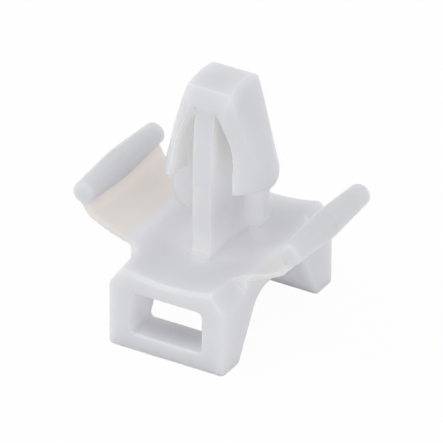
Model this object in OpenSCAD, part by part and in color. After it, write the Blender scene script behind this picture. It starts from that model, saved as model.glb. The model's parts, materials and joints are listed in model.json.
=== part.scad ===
// Push-in cable tie mount with two spring wings, moulded in one piece.
// X runs across the wings, Y from one foot to the other and Z up. The feet stand on Z = 0.
// The mould opens along Y, so the parting line runs round the part on the plane Y = 0.

/* [Saddle] */
// Width of the saddle across the tie slots
saddle_w = 8.4; // [7.8:0.05:10]
// Depth of the saddle over both feet
saddle_d = 13.75; // [13:0.05:17]
// Height of the deck on the middle line
deck_h = 5.4; // [5.2:0.05:6]
// Radius of the hollow that the deck and both wings follow
dish_r = 12.5; // [11:0.1:16]
// Width of the deck at its front and rear edges
deck_w = 6.25; // [5.8:0.05:6.6]
// Height of each shoulder chamfer
shoulder_h = 1.4; // [0.8:0.05:2]
// Angle at which the shoulders spread towards the wings
shoulder_angle = 7; // [0:0.5:9]
// Plan radius where a shoulder runs into a wing
shoulder_r = 0.75; // [0.2:0.05:1.2]
// Rounding of the saddle's outer edges
edge_r = 0.35; // [0.15:0.05:0.5]
// Bevel along the deck's front and rear edges
deck_bevel = 0.25; // [0.1:0.05:0.4]

/* [Cable arch] */
// Height of the arch ceiling above the feet
arch_h = 4.25; // [3.9:0.05:4.5]
// Thickness of each foot at the ground
foot_t = 1.8; // [1.4:0.05:2.2]
// Lean of the inner face of each leg
leg_lean = 30; // [15:1:32]
// Radius between each leg and the ceiling
arch_r = 1.8; // [0.5:0.1:2.4]

/* [Tie slots] */
// Width of the cable tie that each slot takes
tie_w = 4.8; // [3.6:0.1:5]
// Free width beside the tie
tie_gap = 0.4; // [0.2:0.05:0.6]
// Height of each slot
slot_h = 2.95; // [2:0.05:3.1]
// Radius in the slot's corners
slot_r = 0.35; // [0.1:0.05:0.8]
// Rounding of the slot floor's outer lip
lip_r = 0.2; // [0.1:0.05:0.4]

/* [Spring wings] */
// Span over both edge beads
wing_span = 16.8; // [16:0.1:18]
// Length of a wing at its root
wing_root_l = 8.1; // [6:0.05:9]
// Length of a wing at its bead
wing_tip_l = 8.8; // [6.4:0.05:10]
// Thickness of the spring leaf
wing_t = 0.36; // [0.25:0.01:0.5]
// Fillet between the leaf and the saddle's side
root_r = 0.35; // [0.15:0.05:0.5]
// Bead diameter at mid length, on the parting line
bead_d = 1.9; // [1.6:0.05:2.2]
// Bead diameter at its two ends
bead_end_d = 1.45; // [1.2:0.05:1.6]
// Height of the bead's middle above the hollow that the leaf follows
bead_lift = 0.85; // [0.6:0.05:1.1]
// Length over which the leaf's end turns up into the bead
neck_l = 0.5; // [0.3:0.05:0.7]
// How far each end of the bead stands out beyond the leaf
bead_over = 0.15; // [0.1:0.05:0.5]
// Rounding of the bead's end faces
bead_round = 0.25; // [0.1:0.05:0.4]

/* [Anchor] */
// Diameter of the panel hole that the anchor snaps into
hole_d = 6.5; // [6.2:0.05:6.8]
// Diameter over the barbs
barb_d = 7.4; // [7.2:0.05:8.2]
// Thickness of a barb at its catch
barb_t = 1.5; // [1.1:0.05:1.7]
// Length of the straight inner face above the catch
barb_rise = 1.2; // [0.6:0.05:2]
// Rounding of the barb's lower rim
rim_round = 0.3; // [0.1:0.05:0.4]
// Height of the catch under the barbs
catch_h = 10.55; // [10.3:0.05:11.2]
// How much lower the catch lies on the parting line
catch_drop = 0.4; // [0.1:0.05:0.5]
// Width of that lower part of the catch
catch_w = 3.2; // [2:0.1:4]
// Height above the catch at which the front and rear faces start to curve in
face_rise = 1.35; // [0.5:0.05:2]
// Height of the crown's front and rear edges
head_h = 16.95; // [16.4:0.05:18.5]
// Rise of the crown above those edges
crown_rise = 0.35; // [0.1:0.05:0.6]
// Width of the head at the crown
crown_w = 3.15; // [2.8:0.05:3.8]
// Depth of the head at the crown
crown_d = 3.25; // [2.8:0.05:3.8]
// How far the cone round the head clears the crown's corners
corner_gap = 0.05; // [0.02:0.01:0.2]
// Length of the nose slope below the crown
nose_l = 1.1; // [0.8:0.05:1.6]
// Depth of the head where the nose slope begins
nose_d = 4.4; // [3.9:0.05:4.4]
// Thickness of the central post
post_w = 1.3; // [1:0.05:1.6]
// Depth of the central post
post_d = 5.05; // [4.6:0.05:5.4]
// Radius of the hollow fillet round the post's foot
foot_r = 0.35; // [0.2:0.05:0.5]
// Thickness of the centring tongues
tongue_t = 0.8; // [0.5:0.05:1.2]
// Width of the centring tongues
tongue_w = 1.45; // [1.1:0.05:1.6]
// How far the tongues reach below the catch
tongue_l = 3.3; // [2.4:0.05:3.6]

/* [Hidden] */
// Sides of a full circle, for small forms and for wide arcs
$fn = 96;
wide_fn = 360;
// Overlap that joins neighbouring solids, and a length beyond every edge of the part
eps = 0.01;
big = 40;
// How far a form that ends on another runs into it, so that their surfaces cross
bury = 0.2;

// Saddle
half_w = saddle_w / 2;
half_d = saddle_d / 2;
slot_w = tie_w + tie_gap;
slot_floor = arch_h - slot_h;
foot_in = half_d - foot_t;
// Centre of the hollow, and the height of its surface at a distance x from the middle
dish_z = deck_h + dish_r;
function dish(x, r = dish_r) = dish_z - sqrt(r * r - x * x);

// Wings
leaf_r = dish_r + wing_t;
bead_r = bead_d / 2;
bead_end_r = bead_end_d / 2;
bead_l = wing_tip_l + 2 * bead_over;
bead_x = wing_span / 2 - bead_r;
bead_z = dish(bead_x) + bead_lift;
// Where the underside of the leaf turns up into the bead
neck_x = bead_x - neck_l;

// Anchor
barb_r = barb_d / 2;
crown_r = norm([crown_w, crown_d]) / 2 + corner_gap;
notch_h = head_h - nose_l;
tongue_out = hole_d / 2;
tongue_in = tongue_out - tongue_w;
// How far the foot's fillet runs into post and deck: at front and rear, and deeper at the two sides,
// so that the fillets' edges don't meet in the post's corners
foot_sink = 2 * eps;
foot_side_sink = 3 * eps;
barb_in = barb_r - barb_t;
// The rim is taken off twice as far up as across
rim_h = 2 * rim_round;
// Heights at which a barb's inner face and the head's front and rear faces start to curve in
inner_z = catch_h + barb_rise;
face_z = catch_h + face_rise;

// Radius of an arc that stands upright at its lower end and moves in by a over the height h
function lean_r(a, h) = (a * a + h * h) / (2 * a);

// Extrude an X-Z outline along Y, centred
module along_y(len) {
    translate([0, len / 2, 0])
        rotate([90, 0, 0])
            linear_extrude(len)
                children();
}

// Extrude a Y-Z outline along X, centred
module along_x(len) {
    translate([-len / 2, 0, 0])
        rotate([90, 0, 90])
            linear_extrude(len)
                children();
}

module mirrored_x() {
    children();
    mirror([1, 0, 0]) children();
}

module mirrored_y() {
    children();
    mirror([0, 1, 0]) children();
}

module rounded_rect(w, h, r) {
    square([w - 2 * r, h], center = true);
    square([w, h - 2 * r], center = true);
    for (x = [-1, 1], y = [-1, 1])
        translate([x * (w / 2 - r), y * (h / 2 - r)])
            circle(r);
}

// Corner piece at the origin: a square of side r less the quarter circle that rounds it
module corner(r) {
    difference() {
        translate([-eps, -eps]) square(r + eps);
        translate([r, r]) circle(r);
    }
}

// Rounded block that the saddle is cut from
module saddle_block() {
    top = dish_z;
    intersection() {
        along_y(saddle_d) translate([0, top / 2]) rounded_rect(saddle_w, top, edge_r);
        along_x(saddle_w) translate([0, top / 2]) rounded_rect(saddle_d, top, edge_r);
        linear_extrude(top) rounded_rect(saddle_w, saddle_d, edge_r);
    }
}

// Everything above the hollow deck, flared at both ends to break the deck's front and rear edges
module above_deck() {
    inner = half_d - deck_bevel;
    outer = half_d + deck_bevel;
    flare_r = dish_r + outer - inner;
    translate([0, 0, dish_z])
        rotate([90, 0, 0])
            rotate_extrude($fn = wide_fn)
                polygon([
                    [0, -outer], [flare_r, -outer], [dish_r, -inner],
                    [dish_r, inner], [flare_r, outer], [0, outer]
                ]);
}

// Wedge cut off one shoulder, from the front face back to the wing's root.
// It starts above the deck, so that its sloping face alone makes the shoulder's edge.
module shoulder_cut() {
    edge_x = deck_w / 2;
    edge_z = dish(edge_x);
    slope = shoulder_h / (half_w - edge_x);
    len = half_d - wing_root_l / 2;
    start = -edge_x / 2;
    translate([edge_x, -half_d, 0])
        intersection() {
            rotate([0, 0, -shoulder_angle])
                along_y(big)
                    polygon([
                        [start, edge_z - slope * start], [saddle_w, edge_z - slope * saddle_w],
                        [saddle_w, big], [start, big]
                    ]);
            linear_extrude(big)
                difference() {
                    translate([2 * start, -len]) square([saddle_w, 2 * len]);
                    shoulder_corner(len);
                }
        }
}

// Corner left standing between a shoulder's edge and the wing's front edge, in plan
module shoulder_corner(len) {
    c = [(len - shoulder_r) * tan(shoulder_angle) + shoulder_r / cos(shoulder_angle), len - shoulder_r];
    touch = c + shoulder_r * [-cos(shoulder_angle), sin(shoulder_angle)];
    difference() {
        polygon([touch - [eps, 0], [len * tan(shoulder_angle) - eps, len + eps], [c.x, len + eps], c]);
        translate(c) circle(shoulder_r);
    }
}

// Space under the arch: leaning legs and a flat ceiling, joined by arcs
module arch_side() {
    cz = arch_h - arch_r;
    cy = foot_in - cz * tan(leg_lean) - arch_r / cos(leg_lean);
    touch = [cy + arch_r * cos(leg_lean), cz + arch_r * sin(leg_lean)];
    polygon([
        [foot_in + big * tan(leg_lean), -big], touch, [cy, arch_h],
        [-cy, arch_h], [-touch.x, touch.y], [-foot_in - big * tan(leg_lean), -big]
    ]);
    for (s = [-1, 1])
        translate([s * cy, cz])
            circle(arch_r);
}

// Slots for the cable tie through both legs, with a rounded outer lip on the floor of each
module tie_slots() {
    along_y(big)
        translate([0, slot_floor + slot_h / 2])
            rounded_rect(slot_w, slot_h, slot_r);
    mirrored_y()
        along_x(slot_w - 2 * slot_r)
            translate([half_d, slot_floor])
                rotate(180) corner(lip_r);
}

module saddle() {
    difference() {
        saddle_block();
        above_deck();
        mirrored_x() mirrored_y() shoulder_cut();
        along_x(big) arch_side();
        tie_slots();
    }
}

// Leaf of one wing: a slice of the ring round the hollow, a little longer at the bead
module leaf() {
    root_x = half_w - edge_r;
    intersection() {
        along_y(big)
            translate([0, dish_z])
                difference() {
                    circle(leaf_r, $fn = wide_fn);
                    circle(dish_r, $fn = wide_fn);
                }
        linear_extrude(dish_z)
            polygon([
                [root_x, -wing_root_l / 2], [neck_x, -wing_tip_l / 2],
                [neck_x, wing_tip_l / 2], [root_x, wing_root_l / 2]
            ]);
    }
}

// Fillet between the underside of the leaf and the saddle's side
module root_fillet() {
    c = [half_w + root_r, dish(half_w + root_r, leaf_r + root_r)];
    hub = [0, dish_z];
    touch = c + root_r * (hub - c) / norm(hub - c);
    difference() {
        polygon([[half_w - edge_r, c.y], c, touch, [half_w - edge_r, dish(half_w, leaf_r) + eps]]);
        translate(c) circle(root_r);
    }
}

// Neck between leaf and bead, with an underside that runs on straight to the bead's outer side
module neck() {
    low = [neck_x, dish(neck_x, leaf_r)];
    c = [bead_x, bead_z];
    r = bead_end_r - bead_round / 2;
    run = sqrt(pow(norm(c - low), 2) - r * r);
    rise = atan2(c.y - low.y, c.x - low.x) - atan2(r, run);
    polygon([low, low + run * [cos(rise), sin(rise)], c, [neck_x, dish(neck_x)]]);
}

// Bead of one wing, tapering to both ends for draft
module bead() {
    end_y = bead_l / 2;
    end_r = bead_end_r - bead_round;
    translate([bead_x, 0, bead_z])
        rotate([90, 0, 0])
            rotate_extrude()
                polygon([
                    [0, -end_y], [end_r, -end_y], [bead_end_r, bead_round - end_y], [bead_r, 0],
                    [bead_end_r, end_y - bead_round], [end_r, end_y], [0, end_y]
                ]);
}

module wing() {
    leaf();
    along_y(wing_root_l) root_fillet();
    along_y(wing_tip_l) neck();
    bead();
}

// Y-Z outline of post and head: straight, then curving in to the nose, and domed at the crown
module side_outline() {
    base = deck_h - bury;
    face_r = lean_r((post_d - nose_d) / 2, notch_h - face_z);
    dome_r = lean_r(crown_rise, crown_d / 2);
    dome_z = head_h + crown_rise - dome_r;
    // How far the nose slope leans in for each unit of height
    lean = (nose_d - crown_d) / 2 / nose_l;
    intersection() {
        translate([-post_d / 2, base]) square([post_d, big]);
        union() {
            translate([-post_d, 0]) square([2 * post_d, face_z]);
            intersection() {
                translate([post_d / 2 - face_r, face_z]) circle(face_r, $fn = wide_fn);
                translate([face_r - post_d / 2, face_z]) circle(face_r, $fn = wide_fn);
            }
        }
        polygon([
            [crown_d / 2 + lean * head_h, 0], [crown_d / 2 - lean * crown_rise, head_h + crown_rise],
            [lean * crown_rise - crown_d / 2, head_h + crown_rise], [-crown_d / 2 - lean * head_h, 0]
        ]);
        union() {
            translate([-dome_r, 0]) square([2 * dome_r, dome_z]);
            translate([0, dome_z]) circle(dome_r, $fn = wide_fn);
        }
    }
}

// Outline of the post's foot, seen from the front or the side: it spreads in hollow arcs to the deck.
// The arcs run on by sink into the post and the deck.
module foot_outline(w, sink) {
    reach = foot_r - sink;
    difference() {
        translate([-w / 2 - reach, deck_h - foot_r]) square([w + 2 * reach, foot_r + reach]);
        mirrored_x() translate([w / 2 + reach, deck_h + reach]) circle(foot_r);
    }
}

module foot() {
    intersection() {
        along_x(big) foot_outline(post_d, foot_sink);
        along_y(big) foot_outline(post_w, foot_side_sink);
    }
}

// X-Z outline of the head: two barbs that lean in to the crown
module front_outline() {
    top = head_h + crown_rise;
    difference() {
        polygon([
            [barb_r, 0], [barb_r, catch_h], [crown_w / 2, head_h], [crown_w / 2, top],
            [-crown_w / 2, top], [-crown_w / 2, head_h], [-barb_r, catch_h], [-barb_r, 0]
        ]);
        mirrored_x() notch();
    }
}

// Gap between the post and one barb: straight above the catch, then an arc that closes on the post.
// It begins inside the post, which fills that part of it again.
module notch() {
    inner_r = lean_r(barb_in - post_w / 2, notch_h - inner_z);
    intersection() {
        translate([post_w / 2 - bury, 0]) square([barb_in - post_w / 2 + bury, big]);
        union() {
            square([barb_r, inner_z]);
            translate([barb_in - inner_r, inner_z]) circle(inner_r, $fn = wide_fn);
        }
    }
}

// Y-Z outline of all that is cut away under the barbs
module under_catch() {
    polygon([
        [-post_d, catch_h], [-catch_w / 2, catch_h], [0, catch_h - catch_drop],
        [catch_w / 2, catch_h], [post_d, catch_h], [post_d, -eps], [-post_d, -eps]
    ]);
}

// Cone round the four corners of the head, with its lower rim taken off
module envelope() {
    low = catch_h - catch_drop;
    top = head_h + crown_rise;
    rotate_extrude()
        polygon([
            [0, 0], [barb_r - rim_round, 0], [barb_r - rim_round, low], [barb_r, low + rim_h],
            [crown_r, head_h], [crown_r, top + eps], [0, top + eps]
        ]);
}

module head() {
    difference() {
        intersection() {
            along_x(barb_d) side_outline();
            along_y(post_d) front_outline();
            envelope();
        }
        along_x(big) under_catch();
    }
}

// X-Z outline of one centring tongue, from its round end up into the barb
module tongue_outline() {
    r = tongue_w / 2;
    low = catch_h - tongue_l + r;
    inner_r = lean_r(barb_in - post_w / 2, notch_h - inner_z);
    hub_x = barb_in - inner_r;
    top = inner_z + sqrt(inner_r * inner_r - pow(tongue_in - hub_x, 2));
    translate([tongue_in + r, low]) circle(r);
    polygon([[tongue_in, low], [tongue_out, low], [tongue_out, catch_h], [tongue_in, top + bury]]);
}

module anchor() {
    along_x(post_w) side_outline();
    foot();
    head();
    mirrored_x() along_y(tongue_t) tongue_outline();
}

module tie_mount() {
    color("gainsboro")
        union() {
            saddle();
            mirrored_x() wing();
            anchor();
        }
}

tie_mount();
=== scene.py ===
"""Push-in cable tie mount in natural nylon, on a plain pale floor.

The saddle, the two spring wings and the barbed anchor are shaped one after the other
in millimetres. The last step moulds them into one piece and brings it to metres.
"""

import json
import math
from types import SimpleNamespace

import bpy
from mathutils import Matrix, Vector

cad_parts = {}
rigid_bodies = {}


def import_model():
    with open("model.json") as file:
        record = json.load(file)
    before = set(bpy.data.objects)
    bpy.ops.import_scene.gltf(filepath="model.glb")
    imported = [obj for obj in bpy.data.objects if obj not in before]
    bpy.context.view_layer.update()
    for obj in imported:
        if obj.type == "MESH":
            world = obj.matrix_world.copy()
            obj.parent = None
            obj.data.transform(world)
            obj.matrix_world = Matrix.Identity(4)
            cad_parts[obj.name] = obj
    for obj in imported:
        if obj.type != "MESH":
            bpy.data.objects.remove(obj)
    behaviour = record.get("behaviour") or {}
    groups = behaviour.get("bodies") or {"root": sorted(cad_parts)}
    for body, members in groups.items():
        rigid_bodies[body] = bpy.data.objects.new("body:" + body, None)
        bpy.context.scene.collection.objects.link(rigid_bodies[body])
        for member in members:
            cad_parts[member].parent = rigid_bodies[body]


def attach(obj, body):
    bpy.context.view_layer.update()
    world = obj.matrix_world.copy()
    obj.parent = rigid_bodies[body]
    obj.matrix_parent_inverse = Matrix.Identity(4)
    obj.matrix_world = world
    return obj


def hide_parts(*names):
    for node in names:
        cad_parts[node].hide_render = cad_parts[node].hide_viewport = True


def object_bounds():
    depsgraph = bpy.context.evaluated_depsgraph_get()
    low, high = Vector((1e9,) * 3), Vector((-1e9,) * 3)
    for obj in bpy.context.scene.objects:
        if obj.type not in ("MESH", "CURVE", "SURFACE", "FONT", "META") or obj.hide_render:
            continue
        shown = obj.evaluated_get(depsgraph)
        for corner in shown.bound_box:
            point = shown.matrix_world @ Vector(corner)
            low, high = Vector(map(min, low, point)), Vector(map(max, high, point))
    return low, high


bl_info = {
    "name": "Push-in cable tie mount",
    "version": (1, 0, 0),
    "blender": (4, 5, 0),
    "location": "3D View > Sidebar > Tie mount",
    "description": "Models a moulded cable tie mount and the stage it stands on",
    "category": "Mesh",
}

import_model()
CAD_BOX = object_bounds()
NODE = "tie_mount"

MM = 0.001
RAW = "raw_form"  # marks a form that is still to be moulded
TRIANGLES = 180000

# Helper measures in millimetres
NEAR = 0.01  # places closer than this count as one
MERGE = 1e-4  # corners closer than this are merged
TOOL_REACH = 9  # cutting tools stand out of a form by this much
LIP_CUT = 0.55  # share of the lip's radius that the slanting cut takes off
LIP_INSET = 0.6  # share of the slot's corner radius that stays uncut at each end
LEAF_OVERLAP = 1  # how far a leaf runs into the saddle
NECK_OVERLAP = 0.25  # how far the neck's wedge runs back over the leaf
FACE_RISE = 1.35  # height above the catch at which the barbs' faces begin to curve
INNER_RISE = 1.2  # height above the catch up to which the barbs' inner faces are straight
NOTCH_DROP = 4  # how far the notches run down, past the barbs
CROWN_MARGIN = 0.05  # how far the head's cone stands outside the crown's corners
BARB_ROUNDING = 0.28  # rounding of the barbs' lower rim
POST_SINK = 0.5  # how deep the post stands in the saddle
TONGUE_TOP = 3  # how far below the crown's edges the tongues end inside the head

ALONG = 0.9  # a unit direction with more than this of an axis runs along that axis
ARC_STEPS = 5  # flat cuts that make up each curved face of the head

# The camera sees this share of the floor as pure white, and the rest with its shadow
FLOOR_WHITE = 0.955
# Name, place in metres, diameter in metres and watts
LAMPS = (
    ("window", (-0.16, -0.14, 0.33), 0.10, 0.22),
    ("side", (0.20, -0.10, 0.33), 0.16, 0.11),
)


def length(name, millimetres, description):
    """A length setting, given in millimetres and kept in metres."""
    return bpy.props.FloatProperty(
        name=name, description=description, default=millimetres * MM, precision=5, unit="LENGTH"
    )


def angle(name, degrees, description):
    """An angle setting, given in degrees and kept in radians."""
    return bpy.props.FloatProperty(
        name=name, description=description, default=math.radians(degrees), subtype="ANGLE"
    )


def tone(name, colour, description):
    """A colour setting."""
    return bpy.props.FloatVectorProperty(
        name=name, description=description, default=colour, subtype="COLOR", size=3
    )


# ---------------------------------------------------------------- settings


class SaddleSizes(bpy.types.PropertyGroup):
    width: length("Width", 8.4, "Width across the tie slots")
    depth: length("Depth", 13.75, "Depth over both feet")
    deck_height: length("Deck height", 5.4, "Height of the deck on the middle line")
    dish_radius: length("Dish radius", 12.5, "Radius of the hollow that deck and wings follow")
    deck_width: length("Deck width", 6.25, "Width of the deck at its front and rear edges")
    shoulder_height: length("Shoulder height", 1.4, "Height of each shoulder chamfer")
    shoulder_angle: angle("Shoulder angle", 7, "Spread of the shoulders towards the wings")
    shoulder_radius: length("Shoulder radius", 0.75, "Plan radius where a shoulder meets a wing")
    edge_radius: length("Edge radius", 0.35, "Rounding of the outer edges")
    deck_bevel: length("Deck bevel", 0.25, "Bevel along the deck's front and rear edges")
    arch_height: length("Arch height", 4.25, "Height of the arch ceiling")
    foot_thickness: length("Foot thickness", 1.8, "Thickness of each foot at the ground")
    leg_lean: angle("Leg lean", 30, "Lean of the inner face of each leg")
    arch_radius: length("Arch radius", 1.8, "Radius between leg and ceiling")
    slot_width: length("Slot width", 5.2, "Width of the tie slots")
    slot_height: length("Slot height", 2.95, "Height of the tie slots")
    slot_radius: length("Slot radius", 0.35, "Radius in the slot's corners")
    lip_radius: length("Lip radius", 0.2, "Rounding of the slot floor's outer lip")


class WingSizes(bpy.types.PropertyGroup):
    span: length("Span", 16.8, "Span over both edge beads")
    root_length: length("Root length", 8.1, "Length of a wing at its root")
    tip_length: length("Tip length", 8.8, "Length of a wing at its bead")
    thickness: length("Thickness", 0.36, "Thickness of the spring leaf")
    bead_diameter: length("Bead diameter", 1.9, "Bead diameter at mid length")
    bead_end_diameter: length("Bead end diameter", 1.45, "Bead diameter at its ends")
    bead_lift: length("Bead lift", 0.85, "Height of the bead's middle above the leaf's hollow")
    neck_length: length("Neck length", 0.5, "Length over which the leaf turns up into the bead")
    bead_length: length("Bead length", 9.1, "Length of the bead")
    bead_rounding: length("Bead rounding", 0.25, "Rounding of the bead's end faces")


class AnchorSizes(bpy.types.PropertyGroup):
    barb_diameter: length("Barb diameter", 7.4, "Diameter over the barbs")
    barb_thickness: length("Barb thickness", 1.5, "Thickness of a barb at its catch")
    catch_height: length("Catch height", 10.55, "Height of the catch under the barbs")
    catch_drop: length("Catch drop", 0.4, "How much lower the catch lies on the parting line")
    catch_width: length("Catch width", 3.2, "Width of the lower part of the catch")
    head_height: length("Head height", 16.95, "Height of the crown's front and rear edges")
    crown_rise: length("Crown rise", 0.35, "Rise of the crown above those edges")
    crown_width: length("Crown width", 3.15, "Width of the head at the crown")
    crown_depth: length("Crown depth", 3.25, "Depth of the head at the crown")
    nose_length: length("Nose length", 1.1, "Length of the nose slope below the crown")
    nose_depth: length("Nose depth", 4.4, "Depth of the head where the nose begins")
    post_width: length("Post width", 1.3, "Thickness of the central post")
    post_depth: length("Post depth", 5.05, "Depth of the central post")
    foot_radius: length("Foot radius", 0.35, "Radius of the fillet round the post's foot")
    tongue_thickness: length("Tongue thickness", 0.8, "Thickness of the centring tongues")
    tongue_width: length("Tongue width", 1.45, "Width of the centring tongues")
    tongue_reach: length("Tongue reach", 3.3, "How far the tongues reach below the catch")
    hole_diameter: length("Hole diameter", 6.5, "Panel hole that the tongues centre in")


class NylonFinish(bpy.types.PropertyGroup):
    grain: length("Grain", 0.05, "Voxel size of the moulded surface")
    softness: bpy.props.IntProperty(
        name="Softness", description="Smoothing passes that round the moulded edges", default=4
    )
    colour: tone("Nylon", (0.71, 0.715, 0.755), "Colour of natural nylon")
    flow_colour: tone("Flow marks", (0.70, 0.705, 0.745), "Colour of the faint flow marks")
    # Painted light: the warm glow of light shining through the thin leaves
    leaf_painted_glow: tone("Thin leaf", (0.73, 0.64, 0.595), "Warmer tone of the thin spring leaves")
    # Painted shade: the wings and their beads are darkened towards this colour
    wing_painted_shade: tone("Bead", (0.62, 0.63, 0.66), "Tone of the wings' edge beads")
    # Painted light: hollows are lightened towards this colour, standing in for light scattered
    # inside the nylon
    hollow_painted_light: tone("Hollow", (0.98, 0.98, 0.99), "Tone towards which hollows lighten")
    hollow_reach: length("Hollow reach", 3, "How near the walls of a hollow stand")


class StageSettings(bpy.types.PropertyGroup):
    azimuth: angle("Azimuth", 30.1, "Direction of the camera round the part")
    elevation: angle("Elevation", 30.5, "Height of the camera above the horizon")
    roll: angle("Roll", 0.4, "Turn of the camera about its own axis")
    distance: bpy.props.FloatProperty(
        name="Distance", description="From the camera to the part", default=0.8, unit="LENGTH"
    )
    frame_width: length("Frame width", 27.69, "Width of the picture at the part")
    target_height: length("Target height", 6.68, "Height at which the camera looks")
    wall_light: bpy.props.FloatProperty(
        name="Wall light", description="Brightness of the walls round the part", default=0.98
    )
    ceiling_light: bpy.props.FloatProperty(
        name="Ceiling light", description="Brightness of the ceiling above it", default=0.41
    )


def in_mm(settings):
    """The lengths of a settings group in millimetres; angles stay in radians."""
    values = SimpleNamespace()
    for name, prop in settings.bl_rna.properties.items():
        if prop.type == "FLOAT" and not prop.is_array:
            value = getattr(settings, name)
            setattr(values, name, value / MM if prop.unit == "LENGTH" else value)
    return values


# ---------------------------------------------------------------- modelling helpers


def deselect():
    if bpy.context.object and bpy.context.object.mode != "OBJECT":
        bpy.ops.object.mode_set(mode="OBJECT")
    bpy.ops.object.select_all(action="DESELECT")


def pick(obj):
    deselect()
    obj.select_set(True)
    bpy.context.view_layer.objects.active = obj


def named(obj, name):
    obj.name = obj.data.name = name
    return obj


def block(name, low, high):
    """A box between two corners."""
    deselect()
    low, high = Vector(low), Vector(high)
    bpy.ops.mesh.primitive_cube_add(size=1, location=(low + high) / 2)
    obj = named(bpy.context.object, name)
    obj.scale = high - low
    bpy.ops.object.transform_apply(location=True, rotation=True, scale=True)
    return obj


def rod(name, radius, end_radius, start, end, sides=96):
    """A round bar or cone from one point to another."""
    deselect()
    start, end = Vector(start), Vector(end)
    bpy.ops.mesh.primitive_cone_add(
        vertices=sides, radius1=radius, radius2=end_radius, depth=(end - start).length,
        location=(start + end) / 2, rotation=(end - start).to_track_quat("Z", "Y").to_euler(),
    )
    obj = named(bpy.context.object, name)
    bpy.ops.object.transform_apply(location=True, rotation=True, scale=True)
    return obj


def select_parts(obj, kind, test):
    """Selects the edges or faces for which test(centre, direction or normal) holds."""
    pick(obj)
    bpy.ops.object.mode_set(mode="EDIT")
    bpy.ops.mesh.select_mode(type="EDGE" if kind == "edges" else "FACE")
    bpy.ops.mesh.select_all(action="DESELECT")
    bpy.ops.object.mode_set(mode="OBJECT")
    mesh = obj.data
    if kind == "edges":
        for edge in mesh.edges:
            a, b = (mesh.vertices[i].co for i in edge.vertices)
            edge.select = test((a + b) / 2, (b - a).normalized())
    else:
        for face in mesh.polygons:
            face.select = test(face.center, face.normal)
    bpy.ops.object.mode_set(mode="EDIT")


def bevel_edges(obj, test, offset, segments=6):
    """Rounds the edges for which test(middle, direction) holds."""
    select_parts(obj, "edges", test)
    bpy.ops.mesh.bevel(offset=offset, segments=segments, profile=0.5, affect="EDGES")
    bpy.ops.object.mode_set(mode="OBJECT")
    return obj


def split(obj, point, normal, **how):
    """Runs new edges round a form where a plane meets it."""
    pick(obj)
    bpy.ops.object.mode_set(mode="EDIT")
    bpy.ops.mesh.select_all(action="SELECT")
    bpy.ops.mesh.bisect(plane_co=point, plane_no=Vector(normal).normalized(), **how)
    bpy.ops.object.mode_set(mode="OBJECT")
    return obj


def shave(obj, point, normal):
    """Cuts away what lies beyond a plane and closes the cut."""
    return split(obj, point, normal, use_fill=True, clear_outer=True)


def move_corners(obj, place):
    """Moves each corner to place(corner), where that gives a new position."""
    for vertex in obj.data.vertices:
        moved = place(vertex.co.copy())
        if moved is not None:
            vertex.co = moved
    obj.data.update()
    return obj


def apply_modifier(obj, kind, **values):
    pick(obj)
    modifier = obj.modifiers.new(kind.lower(), kind)
    for key, value in values.items():
        setattr(modifier, key, value)
    bpy.ops.object.modifier_apply(modifier=modifier.name)
    return obj


def cut(obj, tool):
    """Takes a tool's space out of a form and throws the tool away."""
    apply_modifier(obj, "BOOLEAN", operation="DIFFERENCE", solver="EXACT", object=tool)
    bpy.data.objects.remove(tool, do_unlink=True)
    return obj


def mirrored(obj, x=False, y=False):
    """Adds the mirror image on the other side of the middle planes."""
    return apply_modifier(
        obj, "MIRROR", use_axis=(x, y, False), use_mirror_merge=True, merge_threshold=MERGE
    )


def recalculated(obj):
    """Merges double corners and turns every face outwards."""
    pick(obj)
    bpy.ops.object.mode_set(mode="EDIT")
    bpy.ops.mesh.select_all(action="SELECT")
    bpy.ops.mesh.remove_doubles(threshold=MERGE)
    bpy.ops.mesh.normals_make_consistent(inside=False)
    bpy.ops.object.mode_set(mode="OBJECT")
    return obj


def dish_centre(saddle):
    return saddle.deck_height + saddle.dish_radius


def dish(saddle, x, extra=0.0):
    """Height of the hollow at a distance x from the middle, or of a surface lower by extra."""
    return dish_centre(saddle) - math.sqrt((saddle.dish_radius + extra) ** 2 - x * x)


def lean_radius(inward, height):
    """Radius of an arc that starts upright and moves inward over a height."""
    return (inward**2 + height**2) / (2 * inward)


# ---------------------------------------------------------------- saddle


def saddle_body(s):
    """Rounded block with the hollow deck, whose front and rear edges are broken."""
    half_w, half_d = s.width / 2, s.depth / 2
    body = block("saddle", (-half_w, -half_d, 0), (half_w, half_d, dish_centre(s) / 2))
    bevel_edges(body, lambda middle, along: True, s.edge_radius, 4)
    centre, r, e = dish_centre(s), s.dish_radius, s.deck_bevel
    roll = rod("roll", r, r, (0, -half_d - 1, centre), (0, half_d + 1, centre), 360)
    cut(body, roll)
    for side in (-1, 1):
        flare = rod(
            "flare", r + 2 * e, r - 2 * e,
            (0, side * (half_d + e), centre), (0, side * (half_d - 3 * e), centre), 360,
        )
        cut(body, flare)
    return body


def arch_tool(s):
    """Space under the arch, as long as the part is wide."""
    foot = s.depth / 2 - s.foot_thickness
    lean = math.tan(s.leg_lean)
    tool = block("arch", (-s.width, -1, -1), (s.width, 1, s.arch_height))
    move_corners(tool, lambda c: Vector((c.x, math.copysign(foot - c.z * lean, c.y), c.z)))
    top = s.arch_height
    turn = math.tan((math.pi / 2 - s.leg_lean) / 2)
    bevel_edges(
        tool, lambda middle, along: middle.z > top - NEAR and abs(along.x) > ALONG,
        s.arch_radius * turn, 16,
    )
    return tool


def slot_tool(s):
    """Both tie slots in one line, with rounded corners."""
    floor = s.arch_height - s.slot_height
    half = s.slot_width / 2
    tool = block("slots", (-half, -s.depth, floor), (half, s.depth, s.arch_height))
    return bevel_edges(tool, lambda middle, along: abs(along.y) > ALONG, s.slot_radius, 8)


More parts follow.
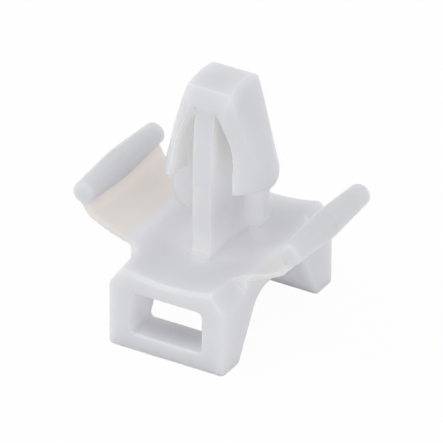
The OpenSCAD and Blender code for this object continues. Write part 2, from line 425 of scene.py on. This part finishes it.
def lip_tool(s, side):
    """Slanting cut that breaks the outer lip of one slot's floor."""
    floor = s.arch_height - s.slot_height
    half = s.slot_width / 2 - s.slot_radius * LIP_INSET
    face = side * s.depth / 2
    reach = s.lip_radius * LIP_CUT
    tool = block("lip", (-half, -reach, -reach), (half, reach, reach))
    tool.rotation_euler.x = math.radians(45)
    tool.location = (0, face, floor)
    pick(tool)
    bpy.ops.object.transform_apply(location=True, rotation=True, scale=True)
    return tool


def shoulder_tool(s, wing_root):
    """Wedge that takes off one shoulder up to the wing's root."""
    edge_x, half_d = s.deck_width / 2, s.depth / 2
    edge_z = dish(s, edge_x)
    slope = s.shoulder_height / (s.width / 2 - edge_x)
    spread = math.tan(s.shoulder_angle)
    reach = half_d - wing_root / 2
    tool = block("shoulder", (0, -1, 0), (s.width, reach, 1))

    def place(c):
        low = edge_z - slope * c.x
        return Vector((edge_x + c.x + c.y * spread, c.y - half_d, low + TOOL_REACH * round(c.z)))

    move_corners(tool, place)
    corner = Vector((edge_x + reach * spread, reach - half_d, 0))
    return bevel_edges(
        tool,
        lambda middle, along: (middle - corner).xy.length < NEAR and abs(along.z) > ALONG,
        s.shoulder_radius, 8,
    )


class TIEMOUNT_OT_saddle(bpy.types.Operator):
    """Model the saddle with its arch, tie slots, hollow deck and shoulders"""

    bl_idname = "tiemount.saddle"
    bl_label = "Saddle"

    def execute(self, context):
        s = in_mm(context.scene.tie_saddle)
        wing_root = context.scene.tie_wings.root_length / MM
        body = saddle_body(s)
        cut(body, mirrored(shoulder_tool(s, wing_root), x=True, y=True))
        cut(body, arch_tool(s))
        cut(body, slot_tool(s))
        for side in (-1, 1):
            cut(body, lip_tool(s, side))
        body[RAW] = True
        return {"FINISHED"}


# ---------------------------------------------------------------- wings


def leaf(s, w):
    """Spring leaf swept round the dish's axis, as far as the neck that turns up into the bead.
    """
    bead_x = w.span / 2 - w.bead_diameter / 2
    bead_z = dish(s, bead_x) + w.bead_lift
    neck_x = bead_x - w.neck_length
    mid_r = s.dish_radius + w.thickness / 2
    start = math.asin((s.width / 2 - LEAF_OVERLAP) / mid_r)
    stop = math.asin(neck_x / mid_r)
    centre = dish_centre(s)
    deselect()
    bpy.ops.mesh.primitive_plane_add(
        size=1,
        location=(mid_r * math.sin(start), 0, centre - mid_r * math.cos(start)),
        rotation=(0, math.pi / 2 - start, 0),
    )
    sheet = named(bpy.context.object, "leaf")
    sheet.scale = (w.thickness, w.tip_length, 1)
    bpy.ops.object.transform_apply(location=True, rotation=True, scale=True)
    bpy.ops.object.mode_set(mode="EDIT")
    bpy.ops.mesh.select_all(action="SELECT")
    bpy.ops.mesh.spin(
        steps=20, angle=stop - start, center=(0, 0, centre), axis=(0, 1, 0), dupli=False
    )
    bpy.ops.object.mode_set(mode="OBJECT")
    root_x = s.width / 2
    change = (w.tip_length - w.root_length) / (neck_x - root_x)

    def taper(c):
        full = min(w.root_length + change * (c.x - root_x), w.tip_length)
        return Vector((c.x, c.y * full / w.tip_length, c.z))

    move_corners(sheet, taper)
    return recalculated(sheet), (bead_x, bead_z, neck_x)


def neck(s, w, bead_x, bead_z, neck_x):
    """Wedge between the leaf's end and the bead, straight along its underside."""
    r = w.bead_end_diameter / 2 - w.bead_rounding / 2
    low = Vector((neck_x, 0, dish(s, neck_x, w.thickness)))
    bead = Vector((bead_x, 0, bead_z))
    gap = bead - low
    run = math.sqrt(gap.length_squared - r * r)
    rise = math.atan2(gap.z, gap.x) - math.atan2(r, run)
    touch = low + run * Vector((math.cos(rise), 0, math.sin(rise)))
    back_x = neck_x - NECK_OVERLAP
    back = Vector((back_x, 0, dish(s, back_x)))
    corners = {(0, 0): low, (1, 0): touch, (1, 1): bead, (0, 1): back}
    half = w.tip_length / 2
    wedge = block("neck", (0, -half, 0), (1, half, 1))
    return move_corners(
        wedge, lambda c: corners[(round(c.x), round(c.z))] + Vector((0, c.y, 0))
    )


def bead(w, bead_x, bead_z):
    """Round edge bead, thickest on the parting line."""
    half = w.bead_length / 2
    r, end_r = w.bead_diameter / 2, w.bead_end_diameter / 2
    bar = rod("bead", end_r, end_r, (bead_x, -half, bead_z), (bead_x, half, bead_z), 64)
    split(bar, (0, 0, 0), (0, 1, 0))
    axis = Vector((bead_x, 0, bead_z))
    move_corners(bar, lambda c: axis + (c - axis) * (r / end_r) if abs(c.y) < NEAR else None)
    return bevel_edges(
        bar, lambda middle, along: abs(middle.y) > half - NEAR, w.bead_rounding, 4
    )


class TIEMOUNT_OT_wings(bpy.types.Operator):
    """Model both spring wings with their edge beads"""

    bl_idname = "tiemount.wings"
    bl_label = "Spring wings"

    def execute(self, context):
        s, w = in_mm(context.scene.tie_saddle), in_mm(context.scene.tie_wings)
        sheet, place = leaf(s, w)
        for form in (sheet, neck(s, w, *place), bead(w, *place[:2])):
            mirrored(form, x=True)
            form[RAW] = True
        return {"FINISHED"}


# ---------------------------------------------------------------- anchor


def shape_sides(form, a):
    """Shaves front, rear, nose and crown of a form to the head's outline."""
    top = a.head_height + a.crown_rise
    notch_z = a.head_height - a.nose_length
    face_z = a.catch_height + FACE_RISE
    face_r = lean_radius((a.post_depth - a.nose_depth) / 2, notch_z - face_z)
    dome_r = lean_radius(a.crown_rise, a.crown_depth / 2)
    nose = Vector((0, a.nose_length, (a.nose_depth - a.crown_depth) / 2))
    for side in (-1, 1):
        for step in range(ARC_STEPS):
            turn = (notch_z - face_z) / face_r * (step + 0.5) / ARC_STEPS
            normal = Vector((0, side * math.cos(turn), math.sin(turn)))
            hub = Vector((0, side * (a.post_depth / 2 - face_r), face_z))
            shave(form, hub + normal * face_r, normal)
        shave(
            form, (0, side * a.crown_depth / 2, a.head_height), (0, side * nose.y, nose.z)
        )
        for step in range(ARC_STEPS):
            turn = math.asin(a.crown_depth / 2 / dome_r) * (step + 0.5) / ARC_STEPS
            normal = Vector((0, side * math.sin(turn), math.cos(turn)))
            shave(form, Vector((0, 0, top - dome_r)) + normal * dome_r, normal)
    return form


def notch_tool(a):
    """Both gaps between the barbs and the post."""
    post_x, inner_x = a.post_width / 2, a.barb_diameter / 2 - a.barb_thickness
    inner_z = a.catch_height + INNER_RISE
    notch_z = a.head_height - a.nose_length
    r = lean_radius(inner_x - post_x, notch_z - inner_z)
    hub_x = inner_x - r
    tool = rod("notch", r, r, (hub_x, -TOOL_REACH, inner_z), (hub_x, TOOL_REACH, inner_z), 360)
    shave(tool, (post_x, 0, 0), (-1, 0, 0))
    shave(tool, (0, 0, inner_z), (0, 0, -1))
    select_parts(tool, "faces", lambda middle, normal: normal.z < -ALONG)
    bpy.ops.mesh.extrude_region_move(TRANSFORM_OT_translate={"value": (0, 0, -NOTCH_DROP)})
    bpy.ops.object.mode_set(mode="OBJECT")
    return mirrored(recalculated(tool), x=True)


def catch_tool(a):
    """All that is cut away under the barbs, dipping on the parting line."""
    low, half = a.catch_height - a.catch_drop, a.catch_width / 2
    wide, deep, under = 6, 5, 6
    tool = block("under_catch", (-wide, 0, under), (wide, deep, a.catch_height))
    split(tool, (0, half, 0), (0, 1, 0))
    move_corners(
        tool, lambda c: Vector((c.x, c.y, low)) if c.y < NEAR and c.z > low - NEAR else None
    )
    return mirrored(tool, y=True)


def barbs(a):
    """Arrowhead cut from a cone: flat outer faces, curved notches and a dipping catch."""
    low = a.catch_height - a.catch_drop
    top = a.head_height + a.crown_rise
    barb_r = a.barb_diameter / 2
    crown_r = math.hypot(a.crown_width, a.crown_depth) / 2 + CROWN_MARGIN
    per_mm = (barb_r - crown_r) / (a.head_height - low)
    head = rod(
        "head", barb_r, crown_r - per_mm * a.crown_rise, (0, 0, low), (0, 0, top), 192
    )
    bevel_edges(head, lambda middle, along: middle.z < low + NEAR, BARB_ROUNDING, 4)
    flat = Vector((a.head_height - a.catch_height, 0, barb_r - a.crown_width / 2))
    for side in (-1, 1):
        shave(head, (side * a.crown_width / 2, 0, a.head_height), (side * flat.x, 0, flat.z))
    shape_sides(head, a)
    cut(head, notch_tool(a))
    return cut(head, catch_tool(a))


def post(s, a):
    """Central post, with the same front and rear outline as the head."""
    x, y = a.post_width / 2, a.post_depth / 2
    bar = block("post", (-x, -y, s.deck_height - POST_SINK), (x, y, a.head_height))
    return shape_sides(bar, a)


def foot(s, a, steps=8):
    """Hollow fillet round the post where it stands on the deck."""
    r, z = a.foot_radius, s.deck_height
    base = block("foot", (-1, -1, z - r), (1, 1, z + r))
    for step in range(steps):
        split(base, (0, 0, z + r * step / steps), (0, 0, 1))

    def spread(c):
        up = max(c.z - z, 0)
        out = r - math.sqrt(max(r * r - (r - up) ** 2, 0))
        return Vector((c.x * (a.post_width / 2 + out), c.y * (a.post_depth / 2 + out), c.z))

    return move_corners(base, spread)


def tongues(a):
    """Round-ended tongues that run up inside the barbs."""
    out_x = a.hole_diameter / 2
    in_x, half_y = out_x - a.tongue_width, a.tongue_thickness / 2
    low = a.catch_height - a.tongue_reach
    top = a.head_height - TONGUE_TOP
    bar = block("tongue", (in_x, -half_y, low), (out_x, half_y, top))
    bevel_edges(
        bar, lambda middle, along: middle.z < low + NEAR and abs(along.y) > ALONG,
        a.tongue_width / 2 - NEAR, 10,
    )
    shave(bar, (out_x, 0, a.catch_height), (top - a.catch_height, 0, a.tongue_width))
    return mirrored(bar, x=True)


class TIEMOUNT_OT_anchor(bpy.types.Operator):
    """Model the post, the barbed head and the centring tongues"""

    bl_idname = "tiemount.anchor"
    bl_label = "Anchor"

    def execute(self, context):
        s, a = in_mm(context.scene.tie_saddle), in_mm(context.scene.tie_anchor)
        for form in (barbs(a), post(s, a), foot(s, a), tongues(a)):
            form[RAW] = True
        return {"FINISHED"}


# ---------------------------------------------------------------- material


def value_node(nodes, links, operation, *inputs):
    """A math node whose inputs are sockets or plain numbers."""
    node = nodes.new("ShaderNodeMath")
    node.operation = operation
    for socket, value in zip(node.inputs, inputs):
        if isinstance(value, bpy.types.NodeSocket):
            links.new(value, socket)
        else:
            socket.default_value = value
    return node.outputs["Value"]


def new_group(name, numbers, results):
    """A node group that takes a place and some numbers and gives plain values."""
    group = bpy.data.node_groups.new(name, "ShaderNodeTree")
    face = group.interface
    face.new_socket("Vector", in_out="INPUT", socket_type="NodeSocketVector")
    for key, default in numbers.items():
        socket = face.new_socket(key, in_out="INPUT", socket_type="NodeSocketFloat")
        socket.default_value = default
    for key in results:
        face.new_socket(key, in_out="OUTPUT", socket_type="NodeSocketFloat")
    nodes = group.nodes
    return group, nodes.new("NodeGroupInput"), nodes.new("NodeGroupOutput")


def nylon_grain_group():
    """Faint cloudy flow marks and the fine texture of the mould's faces, as values."""
    group, source, sink = new_group(
        "nylon_grain", {"Cloud scale": 260.0, "Texture scale": 9000.0}, ("Cloud", "Texture")
    )
    for name, detail in (("Cloud", 3.0), ("Texture", 2.0)):
        noise = group.nodes.new("ShaderNodeTexNoise")
        noise.inputs["Detail"].default_value = detail
        group.links.new(source.outputs["Vector"], noise.inputs["Vector"])
        group.links.new(source.outputs[name + " scale"], noise.inputs["Scale"])
        group.links.new(noise.outputs["Fac"], sink.inputs[name])
    return group


def painted_wing_light_group():
    """How far a point lies out on a spring wing, for the painted shade there, and how much of
    that is its thin leaf, for the painted glow of light shining through it.
    """
    group, source, sink = new_group(
        "painted_wing_light",
        {
            "Axis height": 0.0179, "Root": 0.0041, "Leaf": 0.0052, "Bead inside": 0.0068,
            "Bead outside": 0.0074, "Hollow": 0.0119, "Surface": 0.0123,
            "Faint side": 0.004, "Warm side": -0.004, "Least warmth": 0.3,
        },
        ("Wing", "Leaf"),
    )
    nodes, links = group.nodes, group.links
    split = nodes.new("ShaderNodeSeparateXYZ")
    links.new(source.outputs["Vector"], split.inputs[0])
    x, z = split.outputs["X"], split.outputs["Z"]
    out = value_node(nodes, links, "ABSOLUTE", x)
    down = value_node(nodes, links, "SUBTRACT", source.outputs["Axis height"], z)
    square = value_node(
        nodes, links, "ADD",
        value_node(nodes, links, "MULTIPLY", x, x),
        value_node(nodes, links, "MULTIPLY", down, down),
    )
    steps = []
    for value, low, high in (
        (out, "Root", "Leaf"),
        (out, "Bead inside", "Bead outside"),
        (value_node(nodes, links, "SQRT", square), "Hollow", "Surface"),
        # Painted backlight: the warm glow of light shining through the leaf is strongest on the
        # wing that lies at -X
        (x, "Faint side", "Warm side"),
    ):
        step = nodes.new("ShaderNodeMapRange")
        step.interpolation_type = "SMOOTHSTEP"
        links.new(value, step.inputs["Value"])
        links.new(source.outputs[low], step.inputs["From Min"])
        links.new(source.outputs[high], step.inputs["From Max"])
        steps.append(step.outputs["Result"])
    wing, bead, surface, side = steps
    leaf = value_node(nodes, links, "SUBTRACT", wing, bead)
    warm = value_node(nodes, links, "MAXIMUM", side, source.outputs["Least warmth"])
    leaf = value_node(nodes, links, "MULTIPLY", leaf, surface)
    links.new(wing, sink.inputs["Wing"])
    links.new(value_node(nodes, links, "MULTIPLY", leaf, warm), sink.inputs["Leaf"])
    return group


def tint(nodes, links, factor, colour, other):
    """Mixes a colour socket towards another colour by a factor."""
    mix = nodes.new("ShaderNodeMix")
    mix.data_type = "RGBA"
    links.new(factor, mix.inputs["Factor"])
    if isinstance(colour, bpy.types.NodeSocket):
        links.new(colour, mix.inputs["A"])
    else:
        mix.inputs["A"].default_value = (*colour, 1)
    mix.inputs["B"].default_value = (*other, 1)
    return mix.outputs["Result"]


def nylon_material(finish):
    """Translucent natural nylon with flow marks, painted shade on the wings, a painted warm glow
    of light through the thin leaves and painted light in its hollows.
    """
    material = bpy.data.materials.new("natural_nylon")
    material.use_nodes = True
    nodes, links = material.node_tree.nodes, material.node_tree.links
    shader = nodes["Principled BSDF"]
    place = nodes.new("ShaderNodeTexCoord").outputs["Object"]
    grain, thin = nodes.new("ShaderNodeGroup"), nodes.new("ShaderNodeGroup")
    grain.node_tree, thin.node_tree = nylon_grain_group(), painted_wing_light_group()
    links.new(place, grain.inputs["Vector"])
    links.new(place, thin.inputs["Vector"])

    # Painted light: the colour is lightened in the hollows, standing in for light that scatters
    # inside the nylon and fills them; open faces keep their tone, and places that are less than
    # half open take the full lighter tone
    hollow = nodes.new("ShaderNodeAmbientOcclusion")
    hollow.samples = 8
    hollow.only_local = True
    hollow.inputs["Distance"].default_value = finish.hollow_reach
    closed = nodes.new("ShaderNodeMapRange")
    closed.inputs["From Min"].default_value = 0.9
    closed.inputs["From Max"].default_value = 0.45
    links.new(hollow.outputs["AO"], closed.inputs["Value"])

    colour = tint(nodes, links, grain.outputs["Cloud"], finish.colour, finish.flow_colour)
    colour = tint(nodes, links, closed.outputs["Result"], colour, finish.hollow_painted_light)
    # Painted shade: the colour is darkened out on the wings and their beads
    colour = tint(nodes, links, thin.outputs["Wing"], colour, finish.wing_painted_shade)
    # Painted light: the warm glow of light shining through the thin leaves, strongest on the
    # wing at -X
    colour = tint(nodes, links, thin.outputs["Leaf"], colour, finish.leaf_painted_glow)
    links.new(colour, shader.inputs["Base Color"])

    rough = nodes.new("ShaderNodeMapRange")
    rough.inputs["To Min"].default_value = 0.285
    rough.inputs["To Max"].default_value = 0.36
    links.new(grain.outputs["Texture"], rough.inputs["Value"])
    links.new(rough.outputs["Result"], shader.inputs["Roughness"])

    bump = nodes.new("ShaderNodeBump")
    bump.inputs["Strength"].default_value = 0.05
    bump.inputs["Distance"].default_value = 0.00002
    links.new(grain.outputs["Texture"], bump.inputs["Height"])
    links.new(bump.outputs["Normal"], shader.inputs["Normal"])

    shader.inputs["Subsurface Weight"].default_value = 1.0
    shader.inputs["Subsurface Radius"].default_value = (1.0, 0.97, 0.92)
    shader.inputs["Subsurface Scale"].default_value = 0.0025
    shader.inputs["IOR"].default_value = 1.53
    return material


# ---------------------------------------------------------------- one moulded piece


class TIEMOUNT_OT_mould(bpy.types.Operator):
    """Mould saddle, wings and anchor into one nylon piece with soft edges"""

    bl_idname = "tiemount.mould"
    bl_label = "Mould in one piece"

    def execute(self, context):
        finish = context.scene.tie_finish
        forms = [o for o in context.scene.objects if o.get(RAW)]
        if not forms:
            raise RuntimeError("model the saddle, the wings and the anchor first")
        deselect()
        for form in forms:
            form.select_set(True)
        context.view_layer.objects.active = forms[0]
        bpy.ops.object.join()
        piece = named(context.view_layer.objects.active, "moulded_mount")
        del piece[RAW]
        apply_modifier(piece, "REMESH", mode="VOXEL", voxel_size=finish.grain / MM)
        apply_modifier(piece, "SMOOTH", factor=0.5, iterations=finish.softness)
        faces = len(piece.data.polygons)
        apply_modifier(piece, "DECIMATE", ratio=min(1.0, TRIANGLES / (2 * faces)))
        pick(piece)
        piece.scale = (MM, MM, MM)
        bpy.ops.object.transform_apply(location=True, rotation=True, scale=True)
        bpy.ops.object.shade_smooth()
        piece.data.materials.clear()
        piece.data.materials.append(nylon_material(finish))
        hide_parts(NODE)
        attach(piece, "root")
        return {"FINISHED"}


# ---------------------------------------------------------------- stage


def white_material(name, shown):
    """A plain white that the camera sees at full strength and that still takes a soft shadow."""
    material = bpy.data.materials.new(name)
    material.use_nodes = True
    nodes, links = material.node_tree.nodes, material.node_tree.links
    nodes.clear()
    paper = nodes.new("ShaderNodeBsdfDiffuse")
    paper.inputs["Color"].default_value = (0.96, 0.96, 0.96, 1)
    glow = nodes.new("ShaderNodeEmission")
    glow.inputs["Color"].default_value = (1, 1, 1, 1)
    glow.inputs["Strength"].default_value = 1.0
    rays = nodes.new("ShaderNodeLightPath").outputs
    seen = value_node(nodes, links, "MAXIMUM", rays["Is Camera Ray"], rays["Is Glossy Ray"])
    blend = nodes.new("ShaderNodeMixShader")
    links.new(value_node(nodes, links, "MULTIPLY", seen, shown), blend.inputs["Fac"])
    links.new(paper.outputs[0], blend.inputs[1])
    links.new(glow.outputs[0], blend.inputs[2])
    out = nodes.new("ShaderNodeOutputMaterial")
    links.new(blend.outputs[0], out.inputs["Surface"])
    return material


def soft_lamp(name, location, target, size, watts):
    """A round area lamp that faces the target."""
    deselect()
    bpy.ops.object.light_add(type="AREA", location=location)
    lamp = bpy.context.object
    lamp.name = name
    lamp.data.shape = "DISK"
    lamp.data.size = size
    lamp.data.energy = watts
    lamp.rotation_euler = (Vector(target) - Vector(location)).to_track_quat("-Z", "Y").to_euler()
    return lamp


class TIEMOUNT_OT_stage(bpy.types.Operator):
    """Set up the pale floor, the soft lamps and the camera"""

    bl_idname = "tiemount.stage"
    bl_label = "Stage"

    def execute(self, context):
        stage = context.scene.tie_stage
        low = CAD_BOX[0]
        deselect()
        bpy.ops.mesh.primitive_plane_add(size=6, location=(0, 0, low.z))
        floor = named(context.object, "floor")
        floor.data.materials.append(white_material("pale_floor", FLOOR_WHITE))

        world = bpy.data.worlds.new("pale_room")
        context.scene.world = world
        world.use_nodes = True
        nodes, links = world.node_tree.nodes, world.node_tree.links
        # Bright walls all round under a darker ceiling
        split = nodes.new("ShaderNodeSeparateXYZ")
        links.new(nodes.new("ShaderNodeTexCoord").outputs["Generated"], split.inputs[0])
        up = value_node(nodes, links, "MULTIPLY", split.outputs["Z"], split.outputs["Z"])
        shade = nodes.new("ShaderNodeMapRange")
        shade.inputs["To Min"].default_value = stage.wall_light
        shade.inputs["To Max"].default_value = stage.ceiling_light
        links.new(up, shade.inputs["Value"])
        room = nodes["Background"]
        room.inputs["Color"].default_value = (1, 1, 1, 1)
        links.new(shade.outputs["Result"], room.inputs["Strength"])
        seen = nodes.new("ShaderNodeBackground")
        seen.inputs["Color"].default_value = (1, 1, 1, 1)
        rays = nodes.new("ShaderNodeLightPath")
        blend = nodes.new("ShaderNodeMixShader")
        links.new(rays.outputs["Is Camera Ray"], blend.inputs["Fac"])
        links.new(room.outputs[0], blend.inputs[1])
        links.new(seen.outputs[0], blend.inputs[2])
        links.new(blend.outputs[0], nodes["World Output"].inputs["Surface"])

        middle = (0, 0, stage.target_height)
        for name, place, size, watts in LAMPS:
            soft_lamp(name, place, middle, size, watts)

        camera = bpy.data.objects.new("camera", bpy.data.cameras.new("camera"))
        context.collection.objects.link(camera)
        turn = (
            Matrix.Rotation(stage.azimuth, 3, "Z")
            @ Matrix.Rotation(math.pi / 2 - stage.elevation, 3, "X")
            @ Matrix.Rotation(stage.roll, 3, "Z")
        )
        camera.rotation_euler = turn.to_euler()
        camera.location = Vector(middle) + turn @ Vector((0, 0, stage.distance))
        camera.data.lens = camera.data.sensor_width * stage.distance / stage.frame_width
        camera.data.clip_start = 0.01
        camera.data.clip_end = 20
        context.scene.camera = camera
        context.scene.view_settings.view_transform = "Standard"
        return {"FINISHED"}


# ---------------------------------------------------------------- panel and registration


class TIEMOUNT_PT_panel(bpy.types.Panel):
    bl_idname = "TIEMOUNT_PT_panel"
    bl_label = "Cable tie mount"
    bl_space_type = "VIEW_3D"
    bl_region_type = "UI"
    bl_category = "Tie mount"

    def draw(self, context):
        for operator in OPERATORS:
            self.layout.operator(operator.bl_idname)
        for title, name in SETTINGS:
            box = self.layout.box()
            box.label(text=title)
            group = getattr(context.scene, name)
            for key in type(group).__annotations__:
                box.prop(group, key)


GROUPS = {
    "tie_saddle": SaddleSizes,
    "tie_wings": WingSizes,
    "tie_anchor": AnchorSizes,
    "tie_finish": NylonFinish,
    "tie_stage": StageSettings,
}
SETTINGS = (
    ("Saddle", "tie_saddle"),
    ("Spring wings", "tie_wings"),
    ("Anchor", "tie_anchor"),
    ("Nylon", "tie_finish"),
    ("Stage", "tie_stage"),
)
OPERATORS = (
    TIEMOUNT_OT_saddle,
    TIEMOUNT_OT_wings,
    TIEMOUNT_OT_anchor,
    TIEMOUNT_OT_mould,
    TIEMOUNT_OT_stage,
)


def register():
    for cls in (*GROUPS.values(), *OPERATORS, TIEMOUNT_PT_panel):
        bpy.utils.register_class(cls)
    for name, group in GROUPS.items():
        setattr(bpy.types.Scene, name, bpy.props.PointerProperty(type=group))


def unregister():
    for name in GROUPS:
        delattr(bpy.types.Scene, name)
    for cls in reversed((*GROUPS.values(), *OPERATORS, TIEMOUNT_PT_panel)):
        bpy.utils.unregister_class(cls)


def main():
    register()
    bpy.ops.tiemount.saddle()
    bpy.ops.tiemount.wings()
    bpy.ops.tiemount.anchor()
    bpy.ops.tiemount.mould()
    bpy.ops.tiemount.stage()


if __name__ == "__main__":
    main()
